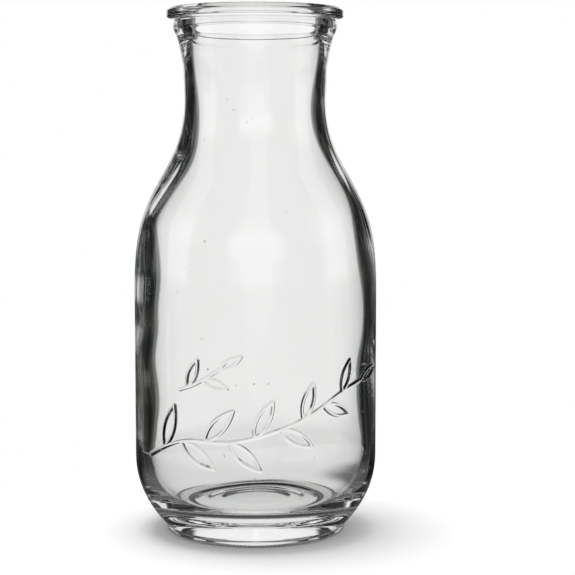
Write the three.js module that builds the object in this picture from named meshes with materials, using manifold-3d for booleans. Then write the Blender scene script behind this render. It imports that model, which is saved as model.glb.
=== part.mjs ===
// A clear glass milk bottle, moulded in one piece. Millimetres, +Z up. The bottle stands on z = 0 with
// its axis on +Z, and the raised sprig on its body faces -Y.
//
// The bottle is one turned wall: an outline that runs from the middle of the underside, out over the
// foot, up the outside, over the lip and down the inside to the middle of the floor. The sprig is a set
// of rounded ridges that are joined to the body.

import * as THREE from 'three';
import Module from 'manifold-3d';
import { mergeVertices } from 'three/addons/utils/BufferGeometryUtils.js';

// Overall size.
const HEIGHT = 214.6;
const BODY_RADIUS = 49.8;
const NECK_RADIUS = 29;
const WALL = 5.2;
const NECK_WALL = 3.9;
const TURN_SEGMENTS = 52;

// Underside: a flat bearing ring around a shallow hollow, the punt, that rises in rings.
const FOOT_RADIUS = 36.9;
const BEARING_OUTER = 35;
const BEARING_INNER = 31.4;
const PUNT_RADIUS = 29.6;
const PUNT_CORNER = 1;
const PUNT_DEPTH = 5;
const PUNT_RINGS = [13.7, 19.4, 25.6];
const PUNT_STEP = 0.5;
const PUNT_STEP_RUN = 0.9;

// Stations up the outside and up the inside. The outline passes through each one at its lean, the angle
// from straight up, outwards. `before` and `after` are how far a curve holds to the lean, on the way to
// the station and away from it.
const FOOT_TOP = { radius: 37, height: 2.4, lean: 42, after: 11 };
const BODY_BOTTOM = { radius: BODY_RADIUS, height: 32, lean: 0, before: 13 };
const BODY_TOP = { radius: BODY_RADIUS, height: 98, lean: 0, after: 26 };
const SHOULDER = { radius: 37.5, height: 147.9, lean: -30, before: 18, after: 11 };
const WAIST = { radius: NECK_RADIUS, height: 177, lean: 0, before: 12, after: 10 };
const FLARE = { radius: 31.9, height: 202.6, lean: 18, before: 9, after: 1.8 };
const COLLAR = { radius: 33.4, height: 207, lean: 0, before: 1.8, after: 1.2 };
const GROOVE = { radius: 33, height: 209.4, lean: 0, before: 0.8 };

const FLOOR_EDGE = { radius: 22, height: 10.8, lean: 90, after: 16 };
const INSIDE_BOTTOM = { radius: BODY_RADIUS - WALL, height: 38, lean: 0, before: 20 };
const INSIDE_TOP = { radius: BODY_RADIUS - WALL, height: 98, lean: 0, after: 23 };
const INSIDE_SHOULDER = { radius: 33.4, height: 145.9, lean: -29.5, before: 17.5, after: 10 };
const INSIDE_WAIST = { radius: NECK_RADIUS - NECK_WALL, height: 177, lean: 0, before: 14, after: 10 };
const MOUTH = { radius: 27, height: 206, lean: 0, before: 10 };

// Lip: a flange with a rounded top, whose crest has a narrow flat land.
const LIP_RADIUS = 36;
const LIP_THICKNESS = 3;
const LIP_CORNER = 0.5;
const LIP_DOME = 1.3;
const LIP_DOME_RUN = 1.2;
const LAND_INNER = 31.6;
const LAND_OUTER = 33.2;
const MOUTH_ROUNDING_WIDTH = 3;
const MOUTH_ROUNDING_DEPTH = 4;

// Raised sprig. Its lines are drawn on the body's front, unrolled flat as (distance round, height).
const RIDGE_RADIUS = 0.7;
const RIDGE_SINK = 0.05;
const RIDGE_HALF_SIDES = 3;
const RIDGE_STEP = 5;
const LONG_STEM = {
  points: [[-50, 36], [-30, 44], [-8, 45], [16, 52], [36, 62], [50, 66]],
  leaves: 9,
  firstLeaf: 0.1,
  leafLength: 19,
};
const SHORT_STEM = {
  points: [[-32, 64], [-24, 67], [-14, 73]],
  leaves: 2,
  firstLeaf: 0.2,
  leafLength: 13,
};
const LAST_LEAF = 0.97;
const LEAF_TURN = 48;
const LEAF_TAPER = 0.35;
const LEAF_WIDEST = 0.45;
const SIDE_LEAF = { length: 1, width: 0.3 };
const END_LEAF = { length: 0.75, width: 0.2 };

const point = (radius, height) => new THREE.Vector2(radius, height);
const place = (station) => point(station.radius, station.height);

// Points along a curve, without its first point, which the outline already has.
const along = (curve, steps) => curve.getPoints(steps).slice(1);

function corner(from, via, to, steps) {
  return along(new THREE.QuadraticBezierCurve(from, via, to), steps);
}

// A point that far along a station's lean.
function lean(station, distance) {
  const angle = THREE.MathUtils.degToRad(station.lean);
  return place(station).add(point(Math.sin(angle), Math.cos(angle)).multiplyScalar(distance));
}

function sweep(from, to, steps) {
  const leaving = lean(from, from.after);
  const arriving = lean(to, -to.before);
  return along(new THREE.CubicBezierCurve(place(from), leaving, arriving, place(to)), steps);
}

function underside() {
  const points = [point(0, PUNT_DEPTH)];
  let level = PUNT_DEPTH;
  for (const ring of PUNT_RINGS) {
    points.push(point(ring, level));
    level -= PUNT_STEP;
    points.push(point(ring + PUNT_STEP_RUN, level));
  }
  const ceiling = point(PUNT_RADIUS - PUNT_CORNER, level);
  points.push(ceiling);
  points.push(...corner(ceiling, point(PUNT_RADIUS, level), point(BEARING_INNER, 0), 3));
  return points;
}

function foot() {
  const bearing = point(BEARING_OUTER, 0);
  const side = point(FOOT_RADIUS, FOOT_TOP.height / 2);
  return [bearing, ...corner(bearing, point(FOOT_RADIUS, 0), side, 2), place(FOOT_TOP)];
}

function outside() {
  return [
    ...sweep(FOOT_TOP, BODY_BOTTOM, 7),
    place(BODY_TOP),
    ...sweep(BODY_TOP, SHOULDER, 6),
    ...sweep(SHOULDER, WAIST, 5),
    ...sweep(WAIST, FLARE, 4),
    ...sweep(FLARE, COLLAR, 2),
    ...sweep(COLLAR, GROOVE, 2),
  ];
}

function lip() {
  const top = HEIGHT - LIP_DOME;
  const bottom = top - LIP_THICKNESS;
  const lowEdge = point(LIP_RADIUS - LIP_CORNER, bottom);
  const lowSide = point(LIP_RADIUS, bottom + LIP_CORNER);
  const highSide = point(LIP_RADIUS, top - LIP_CORNER);
  const highEdge = point(LIP_RADIUS - LIP_CORNER, top);
  return [
    point(GROOVE.radius, bottom),
    lowEdge,
    lowSide,
    highSide,
    highEdge,
    ...corner(highEdge, point(LAND_OUTER + LIP_DOME_RUN, HEIGHT), point(LAND_OUTER, HEIGHT), 2),
  ];
}

function mouth() {
  const land = point(LAND_INNER, HEIGHT);
  const roundingEnd = point(MOUTH.radius, HEIGHT - MOUTH_ROUNDING_DEPTH);
  const overLand = point(LAND_INNER - MOUTH_ROUNDING_WIDTH, HEIGHT);
  const overBore = point(MOUTH.radius, HEIGHT - MOUTH_ROUNDING_DEPTH / 2);
  return [land, ...along(new THREE.CubicBezierCurve(land, overLand, overBore, roundingEnd), 4), place(MOUTH)];
}

// The inside is drawn upwards, as the outside is, and then turned round to run down.
function inside() {
  const upwards = [
    point(0, FLOOR_EDGE.height),
    place(FLOOR_EDGE),
    ...sweep(FLOOR_EDGE, INSIDE_BOTTOM, 7),
    place(INSIDE_TOP),
    ...sweep(INSIDE_TOP, INSIDE_SHOULDER, 6),
    ...sweep(INSIDE_SHOULDER, INSIDE_WAIST, 5),
    ...sweep(INSIDE_WAIST, MOUTH, 3).slice(0, -1),
  ];
  return upwards.reverse();
}

function bottleGeometry() {
  const outline = [...underside(), ...foot(), ...outside(), ...lip(), ...mouth(), ...inside()];
  const geometry = new THREE.LatheGeometry(outline, TURN_SEGMENTS);
  geometry.rotateX(Math.PI / 2);
  return geometry;
}

// A point of the unrolled front, wrapped back onto the body.
function onBody(flat) {
  const radius = BODY_RADIUS - RIDGE_SINK;
  const angle = flat.x / BODY_RADIUS;
  return new THREE.Vector3(radius * Math.sin(angle), -radius * Math.cos(angle), flat.y);
}

function ridgeGeometry(line) {
  const steps = Math.max(3, Math.round(line.getLength() / RIDGE_STEP));
  const section = new THREE.Shape();
  section.absarc(0, 0, RIDGE_RADIUS, 0, 2 * Math.PI);
  return new THREE.ExtrudeGeometry(section, {
    steps,
    curveSegments: RIDGE_HALF_SIDES,
    extrudePath: new THREE.CatmullRomCurve3(line.getSpacedPoints(steps).map(onBody)),
  });
}

// A leaf is two bowed lines that leave the stem together and meet again at the tip.
function leaf(stem, at, turn, length, width) {
  const base = stem.getPointAt(at);
  const direction = stem.getTangentAt(at);
  direction.rotateAround(point(0, 0), THREE.MathUtils.degToRad(turn));
  const across = point(-direction.y, direction.x);
  const middle = base.clone().addScaledVector(direction, length * LEAF_WIDEST);
  const tip = base.clone().addScaledVector(direction, length);
  return [-1, 1].map((side) => {
    const bow = middle.clone().addScaledVector(across, side * width);
    return new THREE.QuadraticBezierCurve(base, bow, tip);
  });
}

// A stem with leaves on alternate sides, smaller towards its tip, and one leaf at the end.
function sprig({ points, leaves, firstLeaf, leafLength }) {
  const stem = new THREE.SplineCurve(points.map(([round, height]) => point(round, height)));
  const lines = [stem];
  for (let i = 0; i < leaves; i += 1) {
    const at = firstLeaf + ((LAST_LEAF - firstLeaf) * i) / leaves;
    const turn = i % 2 === 0 ? LEAF_TURN : -LEAF_TURN;
    const size = leafLength * (1 - LEAF_TAPER * at);
    lines.push(...leaf(stem, at, turn, size * SIDE_LEAF.length, size * SIDE_LEAF.width));
  }
  lines.push(...leaf(stem, 1, 0, leafLength * END_LEAF.length, leafLength * END_LEAF.width));
  return lines;
}

// A closed mesh as a solid. Triangles that fold to a line on the axis are left out.
function toSolid(wasm, geometry) {
  const bare = geometry.clone();
  bare.deleteAttribute('normal');
  bare.deleteAttribute('uv');
  const merged = mergeVertices(bare, 1e-4);
  const corners = merged.index.array;
  const triangles = [];
  for (let i = 0; i < corners.length; i += 3) {
    const [a, b, c] = corners.slice(i, i + 3);
    if (a !== b && b !== c && c !== a) triangles.push(a, b, c);
  }
  return new wasm.Manifold(new wasm.Mesh({
    numProp: 3,
    vertProperties: new Float32Array(merged.attributes.position.array),
    triVerts: new Uint32Array(triangles),
  }));
}

function toGeometry(solid) {
  const mesh = solid.getMesh();
  const geometry = new THREE.BufferGeometry();
  geometry.setAttribute('position', new THREE.BufferAttribute(mesh.vertProperties, 3));
  geometry.setIndex(new THREE.BufferAttribute(mesh.triVerts, 1));
  geometry.computeVertexNormals();
  return geometry;
}

function clearGlass() {
  return new THREE.MeshStandardMaterial({
    color: 0xe6ece8,
    roughness: 0.05,
    metalness: 0,
    transparent: true,
    opacity: 0.35,
  });
}

const wasm = await Module();
wasm.setup();

let glass = toSolid(wasm, bottleGeometry());
for (const line of [...sprig(LONG_STEM), ...sprig(SHORT_STEM)]) {
  glass = glass.add(toSolid(wasm, ridgeGeometry(line)));
}

const bottle = new THREE.Mesh(toGeometry(glass), clearGlass());
bottle.name = 'glass_bottle';

const group = new THREE.Group();
group.add(bottle);

export default group;
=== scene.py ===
"""A clear glass milk bottle in a pale studio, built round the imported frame. Metres, +Z up.

The CAD bottle is replaced by one finer glass mesh: the same outline, with the mould's raised sprig,
seams and knurled foot outside and the uneven blown wall inside.
"""

import math
from collections import namedtuple

import bmesh
import bpy
import numpy as np
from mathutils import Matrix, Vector
from mathutils.kdtree import KDTree


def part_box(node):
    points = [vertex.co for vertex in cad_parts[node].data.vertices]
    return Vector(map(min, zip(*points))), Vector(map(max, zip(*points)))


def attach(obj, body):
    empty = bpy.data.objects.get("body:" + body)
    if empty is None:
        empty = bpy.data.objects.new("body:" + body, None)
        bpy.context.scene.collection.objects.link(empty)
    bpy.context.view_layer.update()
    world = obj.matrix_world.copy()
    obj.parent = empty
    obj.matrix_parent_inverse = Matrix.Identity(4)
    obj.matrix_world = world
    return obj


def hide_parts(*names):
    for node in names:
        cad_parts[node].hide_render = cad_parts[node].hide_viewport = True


MM = 0.001

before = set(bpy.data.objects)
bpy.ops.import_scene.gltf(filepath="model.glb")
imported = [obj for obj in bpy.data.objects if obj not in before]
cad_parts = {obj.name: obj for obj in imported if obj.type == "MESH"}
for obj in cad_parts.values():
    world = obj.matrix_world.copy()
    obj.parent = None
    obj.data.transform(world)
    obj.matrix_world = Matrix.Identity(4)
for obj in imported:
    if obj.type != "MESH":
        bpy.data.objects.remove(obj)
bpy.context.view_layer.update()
low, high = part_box("glass_bottle")

# Driving sizes, from the frame.
HEIGHT = high.z - low.z
BODY_RADIUS = high.x
SEAM_HEIGHT = 0.05 * MM
SKIN_RADIUS = BODY_RADIUS - SEAM_HEIGHT

# A station is a point that the outline passes through, at a lean from straight up, outwards. `before`
# and `after` are how far a curve holds to the lean on the way to the station and away from it.
Station = namedtuple("Station", "radius height lean before after", defaults=(0, 0, 0))

FOOT_TOP = Station(37.0 * MM, 2.4 * MM, lean=42, after=11 * MM)
BODY_BOTTOM = Station(SKIN_RADIUS, 32 * MM, before=13 * MM)
BODY_TOP = Station(SKIN_RADIUS, 98 * MM, after=26 * MM)
SHOULDER = Station(37.5 * MM, 147.9 * MM, lean=-30, before=18 * MM, after=11 * MM)
WAIST = Station(29.0 * MM, 177 * MM, before=12 * MM, after=10 * MM)
FLARE = Station(31.9 * MM, 202.6 * MM, lean=18, before=9 * MM, after=1.8 * MM)
COLLAR = Station(33.4 * MM, 207 * MM, before=1.8 * MM, after=1.2 * MM)
GROOVE = Station(33.0 * MM, 209.4 * MM, before=0.8 * MM)

FLOOR_EDGE = Station(22.0 * MM, 10.8 * MM, lean=90, after=16 * MM)
INSIDE_BOTTOM = Station(44.6 * MM, 38 * MM, before=20 * MM)
INSIDE_TOP = Station(44.6 * MM, 98 * MM, after=23 * MM)
INSIDE_SHOULDER = Station(33.4 * MM, 145.9 * MM, lean=-29.5, before=17.5 * MM, after=10 * MM)
INSIDE_WAIST = Station(25.1 * MM, 177 * MM, before=14 * MM, after=10 * MM)
MOUTH = Station(27.0 * MM, 206 * MM, before=10 * MM)

FOOT_RADIUS = 36.9 * MM
BEARING_OUTER = 35 * MM
BEARING_INNER = 31.4 * MM
PUNT_DEPTH = 5 * MM
PUNT_RADIUS = 29.6 * MM
PUNT_CORNER = 2.5 * MM
PUNT_RINGS = (14.1 * MM, 19.8 * MM, 26 * MM)
PUNT_STEP = 0.5 * MM
PUNT_SOFTNESS = 1.5 * MM

LIP_RADIUS = 36 * MM
LIP_THICKNESS = 3 * MM
LIP_CORNER = 0.5 * MM
LIP_DOME = 1.3 * MM
LAND_INNER = 31.6 * MM
LAND_OUTER = 33.2 * MM
MOUTH_ROUNDING = 4 * MM

# Columns of faces round the axis. The seams fall midway between two columns, so each seam has columns of
# its own, and its top is flat at three quarters of SEAM_HEIGHT.
COLUMNS = 150
SEAM_ANGLES = (math.pi / 2, -math.pi / 2)
SEAM_HALF_WIDTH = 0.35 * MM
SEAM_COLUMNS = (-1, -0.5, 0.5, 1)

# One small bar on the bearing ring to each column, faded out at the ring's inner edge and up the foot.
KNURLS = COLUMNS
KNURL_DEPTH = 0.7 * MM
KNURL_INNER = BEARING_INNER - 0.2 * MM
KNURL_EASE = 1.2 * MM
KNURL_TOP = 1.4 * MM
KNURL_REFINED = 1.6 * MM
KNURL_REFINEMENTS = 2

# The raised sprig, drawn unrolled as (distance round from the front, height) in millimetres.
RIDGE_HEIGHT = 0.64 * MM
RIDGE_HALF_WIDTH = 0.85 * MM
RIDGE_ROUNDING = 1.3
RIDGE_REFINED = (2.6 * MM, 1.9 * MM, 1.3 * MM)
SPRIG_BOTTOM = 20 * MM
SPRIG_TOP = 95 * MM
Sprig = namedtuple("Sprig", "stem leaves first_leaf leaf_length")
SPRIGS = (
    Sprig(
        stem=[(-50, 36), (-30, 44), (-8, 45), (16, 52), (36, 62), (50, 66)],
        leaves=9,
        first_leaf=0.1,
        leaf_length=19,
    ),
    Sprig(stem=[(-32, 64), (-24, 67), (-14, 73)], leaves=2, first_leaf=0.2, leaf_length=13),
)
LINE_SPACING = 0.1
LAST_LEAF = 0.97
LEAF_TURN = math.radians(48)
LEAF_TAPER = 0.35
LEAF_WIDEST = 0.45
LEAF_BOW = 0.3
LEAF_STEPS = 60
END_LEAF_LENGTH = 0.75
END_LEAF_BOW = 0.2

# How the blown wall wanders inside. A positive depth is thicker glass. `angle`, round from the front, and
# `across` are in degrees.
Bulge = namedtuple("Bulge", "angle height depth across up")
BULGES = (
    Bulge(-90, 148 * MM, 1.2 * MM, 42, 14 * MM),
    Bulge(-90, 128 * MM, -0.5 * MM, 34, 7 * MM),
    Bulge(-90, 106 * MM, 0.25 * MM, 34, 9 * MM),
    Bulge(-90, 84 * MM, 0.3 * MM, 34, 8 * MM),
    Bulge(-88, 56 * MM, 0.35 * MM, 40, 12 * MM),
    Bulge(90, 120 * MM, 0.35 * MM, 36, 14 * MM),
    Bulge(90, 70 * MM, 0.3 * MM, 30, 10 * MM),
    Bulge(160, 95 * MM, 0.6 * MM, 50, 25 * MM),
)
Ripple = namedtuple("Ripple", "depth turns pitch phase")
RIPPLES = (
    Ripple(0.10 * MM, turns=3, pitch=17 * MM, phase=0),
    Ripple(0.08 * MM, turns=5, pitch=-9 * MM, phase=1.3),
)
THICKER_ALL_ROUND = 0.1 * MM
OFF_CENTRE = 0.15 * MM
OFF_CENTRE_BODY = 0.35 * MM
NECK_FADE = 15 * MM
FLOOR_FADE = 30 * MM
MOUTH_FADE = 40 * MM

# Seeds are the small bubbles left in the glass. `radius` is measured from the bottle's axis, and `size` is
# the bubble's own radius before it is stretched.
Seed = namedtuple("Seed", "angle height radius size")
SEED_COUNT = 46
SEED_SCATTER = 11
SEED_HEIGHTS = (16 * MM, 196 * MM)
SEED_SIZES = (0.14 * MM, 0.34 * MM)
SEED_DEPTHS = (0.35, 0.65)
SEED_STRETCH = 1.5

# Which skin of the wall a point of the mesh belongs to. The ends are the foot and the lip.
SKIN_NEW = 0
SKIN_OUT = 1
SKIN_IN = 2
SKIN_END = 3


# ---------------------------------------------------------------- outline


def bezier(points, steps):
    """Points along a quadratic or cubic curve, without its first point."""
    degree = len(points) - 1
    t = np.linspace(0, 1, steps + 1)[1:, None]
    total = 0
    for i, p in enumerate(points):
        total = total + math.comb(degree, i) * t**i * (1 - t) ** (degree - i) * np.array(p)
    return [tuple(p) for p in total]


def place(station):
    return (station.radius, station.height)


def lean_point(station, distance):
    angle = math.radians(station.lean)
    return (station.radius + math.sin(angle) * distance, station.height + math.cos(angle) * distance)


def sweep(start, end, steps):
    """The curve from one station to the next, without its first point."""
    leaving = lean_point(start, start.after)
    arriving = lean_point(end, -end.before)
    return bezier([place(start), leaving, arriving, place(end)], steps)


def straight(start, end, steps):
    return [tuple(p) for p in np.linspace(start, end, steps + 1)[1:]]


def punt_level(radius):
    """Height of the hollow under the base: its middle, less a soft step at each ring passed."""
    steps = sum(0.5 + 0.5 * math.tanh((radius - ring) / PUNT_SOFTNESS) for ring in PUNT_RINGS)
    return PUNT_DEPTH - PUNT_STEP * steps


def underside():
    """From the middle of the punt, down its rim, across the bearing ring and up the foot."""
    ceiling_radius = PUNT_RADIUS - PUNT_CORNER
    points = [(r, punt_level(r)) for r in np.linspace(0, ceiling_radius, 44)]
    ceiling_edge = points[-1]
    rim_top = (ceiling_radius + 2 * MM, ceiling_edge[1])
    rim_foot = (BEARING_INNER - 1.2 * MM, 0.4 * MM)
    points += bezier([ceiling_edge, rim_top, rim_foot, (BEARING_INNER, 0)], 10)
    points += straight((BEARING_INNER, 0), (BEARING_OUTER, 0), 2)
    points += bezier([(BEARING_OUTER, 0), (FOOT_RADIUS, 0), (FOOT_RADIUS, FOOT_TOP.height / 2)], 4)
    points += [place(FOOT_TOP)]
    return points


def outside():
    points = sweep(FOOT_TOP, BODY_BOTTOM, 24)
    points += straight(place(BODY_BOTTOM), place(BODY_TOP), 32)
    points += sweep(BODY_TOP, SHOULDER, 44)
    points += sweep(SHOULDER, WAIST, 16)
    points += sweep(WAIST, FLARE, 12)
    points += sweep(FLARE, COLLAR, 6)
    points += sweep(COLLAR, GROOVE, 5)
    return points


def lip():
    """The flange, from the groove under it, over its domed top and down into the mouth."""
    top = HEIGHT - LIP_DOME
    bottom = top - LIP_THICKNESS
    edge_radius = LIP_RADIUS - LIP_CORNER
    points = bezier([place(GROOVE), (GROOVE.radius, bottom), (GROOVE.radius + LIP_CORNER, bottom)], 4)
    under_edge = (edge_radius - 0.6 * MM, bottom)
    edge_top = (LIP_RADIUS, top - LIP_CORNER)
    dome_start = (edge_radius, top + 0.2 * MM)
    dome_crown = (LAND_OUTER + 1.2 * MM, HEIGHT)
    points += [under_edge]
    points += bezier([under_edge, (LIP_RADIUS, bottom), (LIP_RADIUS, bottom + 2 * LIP_CORNER)], 6)
    points += [edge_top]
    points += bezier([edge_top, (LIP_RADIUS, top), dome_start], 5)
    points += bezier([dome_start, dome_crown, (LAND_OUTER, HEIGHT)], 6)
    points += straight((LAND_OUTER, HEIGHT), (LAND_INNER, HEIGHT), 2)
    bore_top = (MOUTH.radius, HEIGHT - MOUTH_ROUNDING)
    over_land = (LAND_INNER - 3 * MM, HEIGHT)
    over_bore = (MOUTH.radius, HEIGHT - MOUTH_ROUNDING / 2)
    points += bezier([points[-1], over_land, over_bore, bore_top], 12)
    return points


def inside_upwards():
    """From the middle of the floor, out along it and up the wall to the mouth."""
    points = [(0, FLOOR_EDGE.height)]
    points += straight(points[0], place(FLOOR_EDGE), 8)
    points += sweep(FLOOR_EDGE, INSIDE_BOTTOM, 30)
    points += straight(place(INSIDE_BOTTOM), place(INSIDE_TOP), 36)
    points += sweep(INSIDE_TOP, INSIDE_SHOULDER, 36)
    points += sweep(INSIDE_SHOULDER, INSIDE_WAIST, 24)
    points += sweep(INSIDE_WAIST, MOUTH, 10)
    return points


OUTER_CURVE = np.array([place(FOOT_TOP)] + outside())
INNER_CURVE = np.array([point for point in inside_upwards() if point[1] > FLOOR_EDGE.height])


def radius_at(curve, height):
    return float(np.interp(height, curve[:, 1], curve[:, 0]))


# ---------------------------------------------------------------- sprig


def spline(points, steps_between=40, steps=200):
    """Evenly spaced points along a Catmull-Rom curve through the given points."""
    p = np.array(points, float)
    padded = np.vstack([p[0], p, p[-1]])
    t = np.linspace(0, 1, steps_between, endpoint=False)[:, None]
    dense = []
    for i in range(len(p) - 1):
        a, b, c, d = padded[i : i + 4]
        bend = (c - a) * t + (2 * a - 5 * b + 4 * c - d) * t**2 + (3 * b - a - 3 * c + d) * t**3
        dense.append(b + 0.5 * bend)
    return respace(np.vstack(dense + [p[-1:]]), steps)


def respace(line, steps):
    run = np.concatenate([[0], np.cumsum(np.linalg.norm(np.diff(line, axis=0), axis=1))])
    at = np.linspace(0, run[-1], steps + 1)
    return np.stack([np.interp(at, run, line[:, k]) for k in (0, 1)], axis=1)


def leaf(stem, at, turn, length, bow):
    """Two bowed lines that leave the stem together and meet again at the tip."""
    index = int(round(at * (len(stem) - 1)))
    base = stem[index]
    ahead = stem[min(index + 1, len(stem) - 1)] - stem[max(index - 1, 0)]
    heading = math.atan2(ahead[1], ahead[0]) + turn
    along = np.array([math.cos(heading), math.sin(heading)])
    across = np.array([-along[1], along[0]])
    tip = base + along * length
    lines = []
    for side in (-1, 1):
        widest = base + along * length * LEAF_WIDEST + across * side * bow
        lines.append(np.array([tuple(base)] + bezier([base, widest, tip], LEAF_STEPS)))
    return lines


def sprig_lines(sprig):
    stem = spline(sprig.stem)
    lines = [stem]
    for i in range(sprig.leaves):
        at = sprig.first_leaf + (LAST_LEAF - sprig.first_leaf) * i / sprig.leaves
        turn = LEAF_TURN if i % 2 == 0 else -LEAF_TURN
        size = sprig.leaf_length * (1 - LEAF_TAPER * at)
        lines += leaf(stem, at, turn, size, size * LEAF_BOW)
    lines += leaf(stem, 1, 0, sprig.leaf_length * END_LEAF_LENGTH, sprig.leaf_length * END_LEAF_BOW)
    return lines


def ridge_tree():
    """Every ridge as closely spaced points on the unrolled front, to measure distances from."""
    points = []
    for sprig in SPRIGS:
        for line in sprig_lines(sprig):
            length = np.linalg.norm(np.diff(line, axis=0), axis=1).sum()
            points.append(respace(line, int(length / LINE_SPACING)) * MM)
    points = np.vstack(points)
    tree = KDTree(len(points))
    for i, p in enumerate(points):
        tree.insert((p[0], p[1], 0), i)
    tree.balance()
    return tree


# ---------------------------------------------------------------- glass mesh


def angle_round(co):
    """The angle round the axis, from the front towards +X."""
    return math.atan2(co.x, -co.y)


def from_axis(co):
    return math.hypot(co.x, co.y)


def at_angle(radius, angle, height):
    return Vector((radius * math.sin(angle), -radius * math.cos(angle), height))


def unrolled(co):
    return Vector((angle_round(co) * BODY_RADIUS, co.z, 0))


def move_out(vert, share):
    """Moves a point straight away from the axis, to `share` times its distance."""
    vert.co.x *= share
    vert.co.y *= share


def column_angles():
    """Angles round the axis from the front, with extra ones at the two mould seams."""
    angles = [2 * math.pi * i / COLUMNS - math.pi for i in range(COLUMNS)]
    for seam in SEAM_ANGLES:
        for offset in SEAM_COLUMNS:
            angles.append(seam + offset * SEAM_HALF_WIDTH / BODY_RADIUS)
    return sorted(angles)


def turned(bm, outline, angles, layer):
    """A surface of revolution; `layer` marks which skin of the wall each point belongs to."""
    rings = []
    for radius, height, skin in outline:
        ring = []
        for angle in angles if radius > 0 else [0]:
            vert = bm.verts.new(at_angle(radius, angle, height))
            vert[layer] = skin
            ring.append(vert)
        rings.append(ring)
    for lower, upper in zip(rings, rings[1:]):
        for i in range(len(angles)):
            j = (i + 1) % len(angles)
            if len(lower) == 1:
                corners = (lower[0], upper[j], upper[i])
            elif len(upper) == 1:
                corners = (lower[i], lower[j], upper[0])
            else:
                corners = (lower[i], lower[j], upper[j], upper[i])
            bm.faces.new(corners)


def refine(bm, chosen, layer):
    """Splits each chosen face into four, and marks the new points with a neighbour's skin."""
    edges = {edge for face in bm.faces if chosen(face) for edge in face.edges}
    bmesh.ops.subdivide_edges(bm, edges=list(edges), cuts=1, use_grid_fill=True)
    unmarked = [vert for vert in bm.verts if vert[layer] == SKIN_NEW]
    while unmarked:
        for vert in unmarked:
            vert[layer] = max(edge.other_vert(vert)[layer] for edge in vert.link_edges)
        unmarked = [vert for vert in unmarked if vert[layer] == SKIN_NEW]


def raise_sprig(bm, layer):
    """Refines the outside round the sprig's ridges, makes it truly round again and raises them."""
    tree = ridge_tree()

    def distance(co):
        return tree.find(unrolled(co))[2]

    def near(reach):
        def chosen(face):
            if any(vert[layer] != SKIN_OUT for vert in face.verts):
                return False
            middle = face.calc_center_median()
            return middle.y < 0 and SPRIG_BOTTOM < middle.z < SPRIG_TOP and distance(middle) < reach

        return chosen

    for reach in RIDGE_REFINED:
        refine(bm, near(reach), layer)
    for vert in bm.verts:
        if vert[layer] != SKIN_OUT or vert.co.y > 0 or not SPRIG_BOTTOM < vert.co.z < SPRIG_TOP:
            continue
        radius = radius_at(OUTER_CURVE, vert.co.z)
        share = distance(vert.co) / RIDGE_HALF_WIDTH
        if share < 1:
            radius += RIDGE_HEIGHT * (1 - share**2) ** RIDGE_ROUNDING
        move_out(vert, radius / from_axis(vert.co))


def raise_seams(bm, layer):
    """Two fine mould seams, one up each side of the body, shoulder and neck."""
    for vert in bm.verts:
        if vert[layer] != SKIN_OUT or not FOOT_TOP.height < vert.co.z < FLARE.height:
            continue
        angle = angle_round(vert.co)
        for seam in SEAM_ANGLES:
            share = abs(angle - seam) * BODY_RADIUS / SEAM_HALF_WIDTH
            if share < 1:
                move_out(vert, 1 + SEAM_HEIGHT * (1 - share**2) / from_axis(vert.co))


def knurl_foot(bm, layer):
    """The bearing ring's row of small bars, pressed so that the glass doesn't slide."""

    def on_ring(face):
        middle = face.calc_center_median()
        return middle.z < KNURL_REFINED and from_axis(middle) > KNURL_INNER

    for _ in range(KNURL_REFINEMENTS):
        refine(bm, on_ring, layer)
    for vert in bm.verts:
        flat = from_axis(vert.co)
        if vert.co.z > KNURL_TOP or flat < KNURL_INNER:
            continue
        wave = 0.5 - 0.5 * math.cos(KNURLS * angle_round(vert.co))
        edge = min(1, (flat - KNURL_INNER) / KNURL_EASE)
        fade = 1 - vert.co.z / KNURL_TOP
        vert.co.z += KNURL_DEPTH * wave * edge * fade


def body_share(height):
    """1 in the body, 0 in the neck."""
    return 0.5 + 0.5 * math.tanh((SHOULDER.height - height) / NECK_FADE)


def wall_gain(angle, height):
    """How much thicker the wall is than its outline here, with nothing added at the floor or mouth."""
    rise = (height - FLOOR_EDGE.height) / FLOOR_FADE
    drop = (HEIGHT - height) / MOUTH_FADE
    fade = min(1, max(0, rise)) * min(1, max(0, drop))
    gain = THICKER_ALL_ROUND - (OFF_CENTRE + OFF_CENTRE_BODY * body_share(height)) * math.sin(angle)
    for ripple in RIPPLES:
        gain += ripple.depth * math.sin(ripple.turns * angle + height / ripple.pitch + ripple.phase)
    for bulge in BULGES:
        turn = math.degrees(angle) - bulge.angle
        turn = (turn + 180) % 360 - 180
        spread = (turn / bulge.across) ** 2 + ((height - bulge.height) / bulge.up) ** 2
        gain += bulge.depth * math.exp(-spread)
    return gain * fade


def blow_inside(bm, layer):
    axis_clearance = 1 * MM
    for vert in bm.verts:
        flat = from_axis(vert.co)
        if vert[layer] == SKIN_IN and flat >= axis_clearance:
            move_out(vert, 1 - wall_gain(angle_round(vert.co), vert.co.z) / flat)


def seeds():
    """A scatter of small bubbles through the middle of the wall, the same in every run."""
    random = np.random.default_rng(SEED_SCATTER)
    found = []
    for _ in range(SEED_COUNT):
        angle = random.uniform(-math.pi, math.pi)
        height = random.uniform(*SEED_HEIGHTS)
        size = random.uniform(*SEED_SIZES)
        outer = radius_at(OUTER_CURVE, height)
        inner = radius_at(INNER_CURVE, height) - wall_gain(angle, height)
        radius = inner + (outer - inner) * random.uniform(*SEED_DEPTHS)
        found.append(Seed(angle, height, radius, size))
    return found


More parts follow.
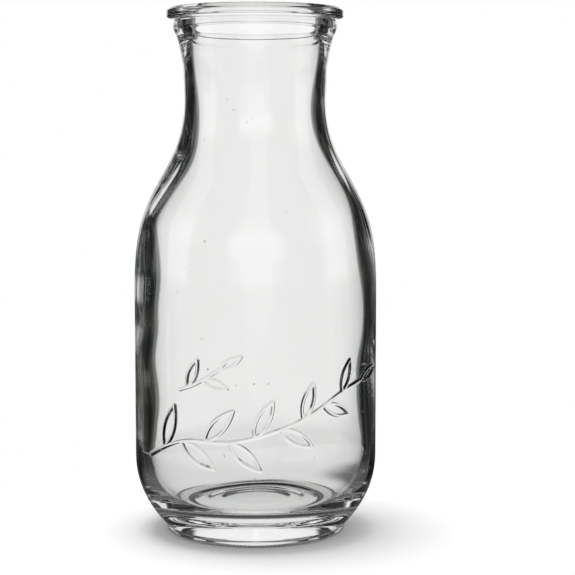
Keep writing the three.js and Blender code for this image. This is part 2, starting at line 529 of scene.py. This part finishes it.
def add_seeds(bm):
    """Each seed is a small closed skin that faces inwards, so that it bounds air within the glass."""
    for seed in seeds():
        made = bmesh.ops.create_icosphere(bm, subdivisions=2, radius=seed.size)
        middle = at_angle(seed.radius, seed.angle, seed.height)
        for vert in made["verts"]:
            vert.co.z *= SEED_STRETCH
            vert.co += middle
        faces = {face for vert in made["verts"] for face in vert.link_faces}
        bmesh.ops.reverse_faces(bm, faces=list(faces))


def glass_bottle():
    bm = bmesh.new()
    layer = bm.verts.layers.int.new("skin")
    outline = [(r, z, SKIN_END) for r, z in underside()]
    outline += [(r, z, SKIN_OUT) for r, z in outside()]
    outline += [(r, z, SKIN_END) for r, z in lip()]
    outline += [(r, z, SKIN_IN) for r, z in reversed(inside_upwards())]
    turned(bm, outline, column_angles(), layer)
    raise_sprig(bm, layer)
    raise_seams(bm, layer)
    knurl_foot(bm, layer)
    blow_inside(bm, layer)
    bmesh.ops.recalc_face_normals(bm, faces=bm.faces)
    add_seeds(bm)
    for face in bm.faces:
        face.smooth = True
    return finished(bm, "clear_glass_bottle", clear_glass())


def finished(bm, name, material):
    """Turns a bmesh into a named object in the scene."""
    mesh = bpy.data.meshes.new(name)
    bm.to_mesh(mesh)
    bm.free()
    mesh.materials.append(material)
    thing = bpy.data.objects.new(name, mesh)
    bpy.context.collection.objects.link(thing)
    return thing


# ---------------------------------------------------------------- nodes


class Nodes:
    """Adds and links nodes in one tree. A mask is a socket that runs from 0 to 1."""

    def __init__(self, tree):
        self.tree = tree
        tree.nodes.clear()

    def add(self, kind, **settings):
        node = self.tree.nodes.new("ShaderNode" + kind)
        for name, value in settings.items():
            setattr(node, name, value)
        return node

    def feed(self, socket, value):
        if isinstance(value, bpy.types.NodeSocket):
            self.tree.links.new(value, socket)
        else:
            socket.default_value = value

    def feed_all(self, sockets, values):
        for socket, value in zip(sockets, values):
            self.feed(socket, value)

    def math(self, operation, *values):
        node = self.add("Math", operation=operation)
        self.feed_all(node.inputs, values)
        return node.outputs[0]

    def both(self, first, *others):
        """The product of some masks."""
        product = first
        for mask in others:
            product = self.math("MULTIPLY", product, mask)
        return product

    def either(self, first, *others):
        """The strongest of some masks."""
        strongest = first
        for mask in others:
            strongest = self.math("MAXIMUM", strongest, mask)
        return strongest

    def blend(self, share, a, b):
        node = self.add("Mix", data_type="FLOAT")
        self.feed_all((node.inputs[0], node.inputs[2], node.inputs[3]), (share, a, b))
        return node.outputs[0]

    def colours(self, share, a, b):
        node = self.add("Mix", data_type="RGBA")
        for name, value in (("Factor", share), ("A", a), ("B", b)):
            self.feed(node.inputs[name], value)
        return node.outputs["Result"]

    def ramp(self, value, start, end):
        """0 at start, 1 at end, and smooth between them."""
        node = self.add("MapRange", interpolation_type="SMOOTHSTEP")
        self.feed_all(node.inputs, (value, start, end, 0.0, 1.0))
        return node.outputs[0]

    def sector(self, offset, half, soft):
        """1 where `offset`, in radians, is within `half` degrees of 0, fading out over `soft` more."""
        away = self.math("ABSOLUTE", offset)
        return self.ramp(away, math.radians(half + soft), math.radians(half))

    def noise(self, place_on, scale, detail):
        node = self.add("TexNoise")
        self.feed(node.inputs["Vector"], place_on)
        node.inputs["Scale"].default_value = scale
        node.inputs["Detail"].default_value = detail
        return node.outputs["Fac"]

    def bounces(self, path):
        """How often light was thrown back, on a path that the Light Path node describes."""
        return self.math("SUBTRACT", path.outputs["Ray Depth"], path.outputs["Transmission Depth"])


def clear_glass():
    """Clear soda-lime glass, with a faint uneven tint, ripple and wear."""
    material = bpy.data.materials.new("clear_glass_moulded")
    material.use_nodes = True
    nodes = Nodes(material.node_tree)
    shader = nodes.add("BsdfPrincipled")
    shader.inputs["Transmission Weight"].default_value = 1
    shader.inputs["IOR"].default_value = 1.52
    place_on = nodes.add("TexCoord").outputs["Object"]

    cords = nodes.noise(place_on, scale=38, detail=2)
    tint = nodes.colours(cords, (0.975, 0.985, 0.975, 1), (0.995, 0.995, 0.99, 1))
    nodes.feed(shader.inputs["Base Color"], tint)

    wear = nodes.noise(place_on, scale=260, detail=4)
    roughness = nodes.add("MapRange")
    nodes.feed_all(roughness.inputs, (wear, 0.45, 0.8, 0.0, 0.008))
    nodes.feed(shader.inputs["Roughness"], roughness.outputs[0])

    bump = nodes.add("Bump")
    bump.inputs["Strength"].default_value = 0.25
    bump.inputs["Distance"].default_value = 0.05 * MM
    nodes.feed(bump.inputs["Height"], cords)
    nodes.feed(shader.inputs["Normal"], bump.outputs["Normal"])

    nodes.feed(nodes.add("OutputMaterial").inputs["Surface"], shader.outputs[0])
    return material


# ---------------------------------------------------------------- world


class Sky(Nodes):
    """The world's nodes. Headings are in degrees from straight behind the bottle, towards +X."""

    def __init__(self, tree):
        super().__init__(tree)
        generated = self.add("TexCoord").outputs["Generated"]
        direction = self.add("SeparateXYZ")
        self.feed(direction.inputs[0], generated)
        x, y, z = direction.outputs
        self.heading = self.math("ARCTAN2", x, y)
        self.elevation = self.math("ARCSINE", z)
        flattened = self.add("Mapping")
        flattened.inputs["Scale"].default_value = (1, 1, 1.6)
        self.feed(flattened.inputs["Vector"], generated)
        self.mottle = self.noise(flattened.outputs[0], scale=5, detail=2)
        self.patches = self.ramp(self.mottle, 0.48, 0.66)
        self.dark = self.blend(self.patches, 0.006, 0.05)

    def lobes(self, centre, half, soft, every):
        """1 within `half` degrees of every `every` degrees from `centre`, fading out over `soft`."""
        offset = self.math("SUBTRACT", self.heading, math.radians(centre))
        half_period = math.radians(every / 2)
        return self.sector(self.math("WRAP", offset, half_period, -half_period), half, soft)

    def between(self, start, end):
        """0 at an elevation of `start` degrees, 1 at `end`."""
        return self.ramp(self.elevation, math.radians(start), math.radians(end))

    def falling_aside(self):
        """1 for rays that fall away behind on the left or in front on the right, as seen from above."""
        return self.both(self.lobes(135, half=20, soft=4, every=180), self.between(-12, -16))


def through_hollow(sky):
    """White behind, in front, at both sides and where light falls steeply; grey beside that, then dark."""
    ahead = sky.either(
        sky.lobes(0, half=20, soft=3, every=90),
        sky.lobes(135, half=20, soft=3, every=360),
        sky.falling_aside(),
    )
    beside = sky.either(
        sky.lobes(0, half=26, soft=4, every=90),
        sky.lobes(135, half=26, soft=4, every=360),
    )
    under_foot = sky.between(-16, -22)
    level_white = sky.blend(sky.between(-13, -9), 0.84, 1.0)
    lost_overhead = sky.math("MULTIPLY", sky.between(30, 60), 0.5)
    white = sky.math("SUBTRACT", level_white, lost_overhead)
    grey_or_dark = sky.blend(beside, sky.dark, 0.3)
    return sky.blend(sky.either(ahead, under_foot), grey_or_dark, white)


def through_wall(sky):
    """Dark, with a mottled band every quarter turn, pale or streaked in its middle, and white patches."""
    band = sky.blend(sky.patches, 0.02, 0.16)
    streaks = sky.blend(sky.ramp(sky.mottle, 0.42, 0.6), 0.03, 0.6)
    middle = sky.blend(sky.between(-8, -1), streaks, 0.88)
    climbing = sky.both(sky.between(6, 10), sky.between(24, 18))
    climbing_ahead = sky.both(sky.lobes(0, half=28, soft=5, every=180), climbing)
    lower_corners = sky.both(sky.falling_aside(), sky.between(-38, -34))
    with_band = sky.blend(sky.lobes(0, half=28, soft=6, every=90), sky.dark, band)
    with_middle = sky.blend(sky.lobes(0, half=13, soft=4, every=90), with_band, middle)
    return sky.blend(sky.either(climbing_ahead, lower_corners), with_middle, 1.0)


def bounced_inside(sky):
    """Nearly black, with a dim glow every quarter turn where light climbs or falls."""
    falling = sky.both(sky.between(-12, -17), sky.between(-36, -30))
    steep = sky.either(sky.between(8, 13), falling)
    glow = sky.both(steep, sky.lobes(0, half=18, soft=12, every=90))
    return sky.blend(glow, 0.03, 0.35)


def mirrored_outside(sky):
    """Tall white strips with soft edges, on near black."""
    strip_heights = sky.both(sky.between(35, 15), sky.between(-4, 0))
    strips = sky.both(sky.lobes(0, half=20, soft=8, every=90), strip_heights)
    return sky.blend(strips, 0.06, 1.0)


def studio_world():
    """A white surround with dark flags, which give clear glass its dark edges.

    What a ray sees depends on how it reached the surround: through the hollow, only through the wall,
    after bouncing inside the glass, or mirrored by its outside. The camera itself sees plain white.
    """
    world = bpy.data.worlds.new("studio")
    bpy.context.scene.world = world
    world.use_nodes = True
    sky = Sky(world.node_tree)
    path = sky.add("LightPath")
    crossings = path.outputs["Transmission Depth"]
    # The counts are whole numbers, so they are compared with halves.
    has_bounced = sky.math("GREATER_THAN", sky.bounces(path), 1.5)
    crossed_hollow = sky.math("GREATER_THAN", crossings, 2.5)
    never_entered = sky.math("LESS_THAN", crossings, 0.5)

    from_hollow = sky.blend(has_bounced, through_hollow(sky), bounced_inside(sky))
    from_glass = sky.blend(crossed_hollow, through_wall(sky), from_hollow)
    from_bottle = sky.blend(never_entered, from_glass, mirrored_outside(sky))
    with_paper = sky.blend(path.outputs["Is Diffuse Ray"], from_bottle, 0.95)
    seen = sky.blend(path.outputs["Is Camera Ray"], with_paper, 1.0)

    cool_to_warm = sky.colours(sky.patches, (0.9, 1.0, 1.02, 1), (1.0, 0.94, 0.8, 1))
    background = sky.add("Background")
    tone = sky.colours(sky.ramp(seen, 0.0, 0.7), cool_to_warm, (1, 1, 1, 1))
    sky.feed(background.inputs["Color"], tone)
    sky.feed(background.inputs["Strength"], seen)
    sky.feed(sky.add("OutputWorld").inputs["Surface"], background.outputs[0])


# ---------------------------------------------------------------- table


# The table lies a hair below the foot, so that the two surfaces never coincide.
TABLE_DROP = 0.2 * MM
# In millimetres from the axis.
TABLE_RADIUS = 160
SHADE_START = 90
SHADE_END = 145


class TableTop(Nodes):
    """The table's nodes. Distances are in millimetres from the bottle's axis."""

    def __init__(self, tree):
        super().__init__(tree)
        place_on = self.add("TexCoord").outputs["Object"]
        length = self.add("VectorMath", operation="LENGTH")
        self.feed(length.inputs[0], place_on)
        self.distance = length.outputs["Value"]
        split = self.add("SeparateXYZ")
        self.feed(split.inputs[0], place_on)
        self.heading = self.math("ARCTAN2", split.outputs[0], split.outputs[1])

    def between(self, start, end):
        """0 at a distance of `start`, 1 at `end`."""
        return self.ramp(self.distance, start * MM, end * MM)

    def facing(self, centre, half, soft):
        """1 within `half` degrees of the heading `centre`, fading out over `soft`."""
        return self.sector(self.math("SUBTRACT", self.heading, math.radians(centre)), half, soft)

    def light(self, strength):
        shader = self.add("Emission")
        self.feed(shader.inputs["Strength"], strength)
        return shader.outputs[0]

    def mix(self, share, a, b):
        shader = self.add("MixShader")
        self.feed_all(shader.inputs, (share, a, b))
        return shader.outputs[0]


def seen_directly(top):
    """Pale paper that takes the bottle's soft shadow and fades into the white surround."""
    paper = top.add("BsdfDiffuse")
    paper.inputs["Color"].default_value = (0.9, 0.9, 0.9, 1)
    return top.mix(top.between(SHADE_START, SHADE_END), paper.outputs[0], top.light(1.0))


def seen_through_glass(top):
    """Even and pale, with one soft grey sector of painted shade behind the bottle on the right."""
    pale = top.blend(top.between(50, TABLE_RADIUS), 0.82, 0.9)
    painted_shade_behind_right = top.facing(61, half=8, soft=24)
    # Painted shade: in this sector the table seen through the glass turns grey.
    grey = top.both(painted_shade_behind_right, top.between(42, 58), top.between(110, 80))
    return top.light(top.blend(grey, pale, 0.2))


def seen_after_bounces(top):
    """Painted light and shade, seen only after bounces in the glass: dark, with painted light behind and
    beneath the foot, and a painted shadow ring where the foot stands.
    """
    behind = top.both(top.facing(0, half=42, soft=8), top.between(80, 70))
    # Painted light: a bright pool on the table under the hollow of the base, and behind it.
    beneath = top.between(34.5, 28.5)
    dark = top.blend(top.between(110, 80), 0.03, 0.12)
    lit = top.blend(top.either(behind, beneath), dark, 0.85)
    # Painted shadow: a darker ring under the bearing ring, where the foot stands.
    ring = top.both(top.between(30, 31.5), top.between(36.5, 35))
    return top.light(top.blend(top.math("MULTIPLY", ring, 0.75), lit, 0.02))


def pale_table():
    material = bpy.data.materials.new("pale_table")
    material.use_nodes = True
    top = TableTop(material.node_tree)
    path = top.add("LightPath")
    has_bounced = top.math("GREATER_THAN", top.bounces(path), 0.5)
    by_glass = top.mix(has_bounced, seen_through_glass(top), seen_after_bounces(top))
    shown = top.mix(path.outputs["Is Camera Ray"], by_glass, seen_directly(top))
    top.feed(top.add("OutputMaterial").inputs["Surface"], shown)
    return material


def table():
    bm = bmesh.new()
    bmesh.ops.create_circle(bm, cap_ends=True, segments=128, radius=TABLE_RADIUS * MM)
    surface = finished(bm, "table", pale_table())
    surface.location.z = low.z - TABLE_DROP


# ---------------------------------------------------------------- light and camera


CAMERA_PLACE = (0, -0.693, 0.167)
CAMERA_TILT = math.radians(5.5)
CAMERA_SWING = math.radians(1.09)
CAMERA_LENS = 105.56
CAMERA_SENSOR = 36


def point(thing, direction):
    thing.rotation_euler = direction.to_track_quat("-Z", "Y").to_euler()


def soft_light():
    """A broad lamp overhead for the soft shadow. The glass neither mirrors it nor lets it show."""
    light = bpy.data.lights.new("overhead", "AREA")
    light.shape = "DISK"
    light.size = 0.6
    light.energy = 5.0
    lamp = bpy.data.objects.new("overhead", light)
    lamp.location = (-0.1, 0.05, 1.0)
    point(lamp, -lamp.location)
    lamp.visible_glossy = False
    lamp.visible_transmission = False
    bpy.context.collection.objects.link(lamp)


def camera():
    """In front of the bottle, looking slightly down and to the right of it."""
    lens = bpy.data.cameras.new("camera")
    lens.sensor_width = CAMERA_SENSOR
    lens.lens = CAMERA_LENS
    shooter = bpy.data.objects.new("camera", lens)
    shooter.location = CAMERA_PLACE
    across = math.sin(CAMERA_SWING) * math.cos(CAMERA_TILT)
    ahead = math.cos(CAMERA_SWING) * math.cos(CAMERA_TILT)
    point(shooter, Vector((across, ahead, -math.sin(CAMERA_TILT))))
    bpy.context.collection.objects.link(shooter)
    bpy.context.scene.camera = shooter


def light_paths():
    """Enough bounces for clear glass. The limits also keep the deepest paths dark."""
    cycles = bpy.context.scene.cycles
    cycles.max_bounces = 32
    cycles.transmission_bounces = 24
    cycles.glossy_bounces = 12
    bpy.context.scene.view_settings.view_transform = "Standard"


camera()
bottle = glass_bottle()
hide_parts("glass_bottle")
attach(bottle, "root")
studio_world()
table()
soft_light()
light_paths()
